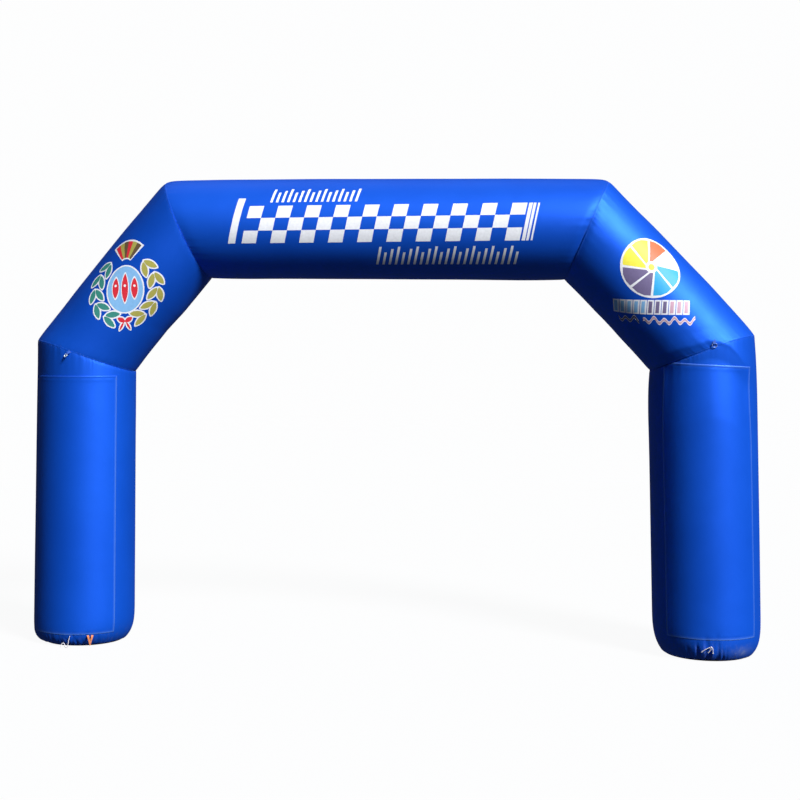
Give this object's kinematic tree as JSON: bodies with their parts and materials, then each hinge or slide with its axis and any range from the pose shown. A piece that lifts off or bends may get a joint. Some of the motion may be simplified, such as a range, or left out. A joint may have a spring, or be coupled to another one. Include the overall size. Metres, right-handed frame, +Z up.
{
  "type": "inflatable arch",
  "caption": "Free-standing inflated cloth arch with round legs, sloping shoulders and a level beam to pass under, with banner panels, tether rings and foot ties.",
  "frame": {"origin": "on the ground, midway between the legs, on the tube's centre plane", "axes": "+X along the beam to a viewer's right, +Y from the front of the arch to its back, +Z up"},
  "size_m": [6, 0.877, 3.8696],
  "materials": {
    "tube_cloth": "saturated blue coated polyester, satin",
    "base_cloth": "heavier dark coated cloth, matt",
    "banner_cloth": "the same blue cloth with a turned hem, satin",
    "tab_webbing": "blue woven webbing",
    "ring_steel": "bright plated steel wire",
    "strap_webbing": "orange woven webbing",
    "tie_cord": "white braided cord"
  },
  "bodies": {
    "root": {"leg_left": "tube_cloth", "diagonal_left": "tube_cloth", "beam": "tube_cloth", "diagonal_right": "tube_cloth", "leg_right": "tube_cloth", "base_panel_left": "base_cloth", "base_panel_right": "base_cloth", "banner_panel_left": "banner_cloth", "banner_panel_right": "banner_cloth", "tether_tab_left": "tab_webbing", "tether_tab_right": "tab_webbing", "tether_ring_left": "ring_steel", "tether_ring_right": "ring_steel", "anchor_strap_left": "strap_webbing", "tie_left": "tie_cord", "tie_right_long_end": "tie_cord", "tie_right_short_end": "tie_cord", "tie_right_tail": "tie_cord", "tie_right_knot": "tie_cord", "tie_right_tail_knot": "tie_cord"}
  },
  "joints": []
}
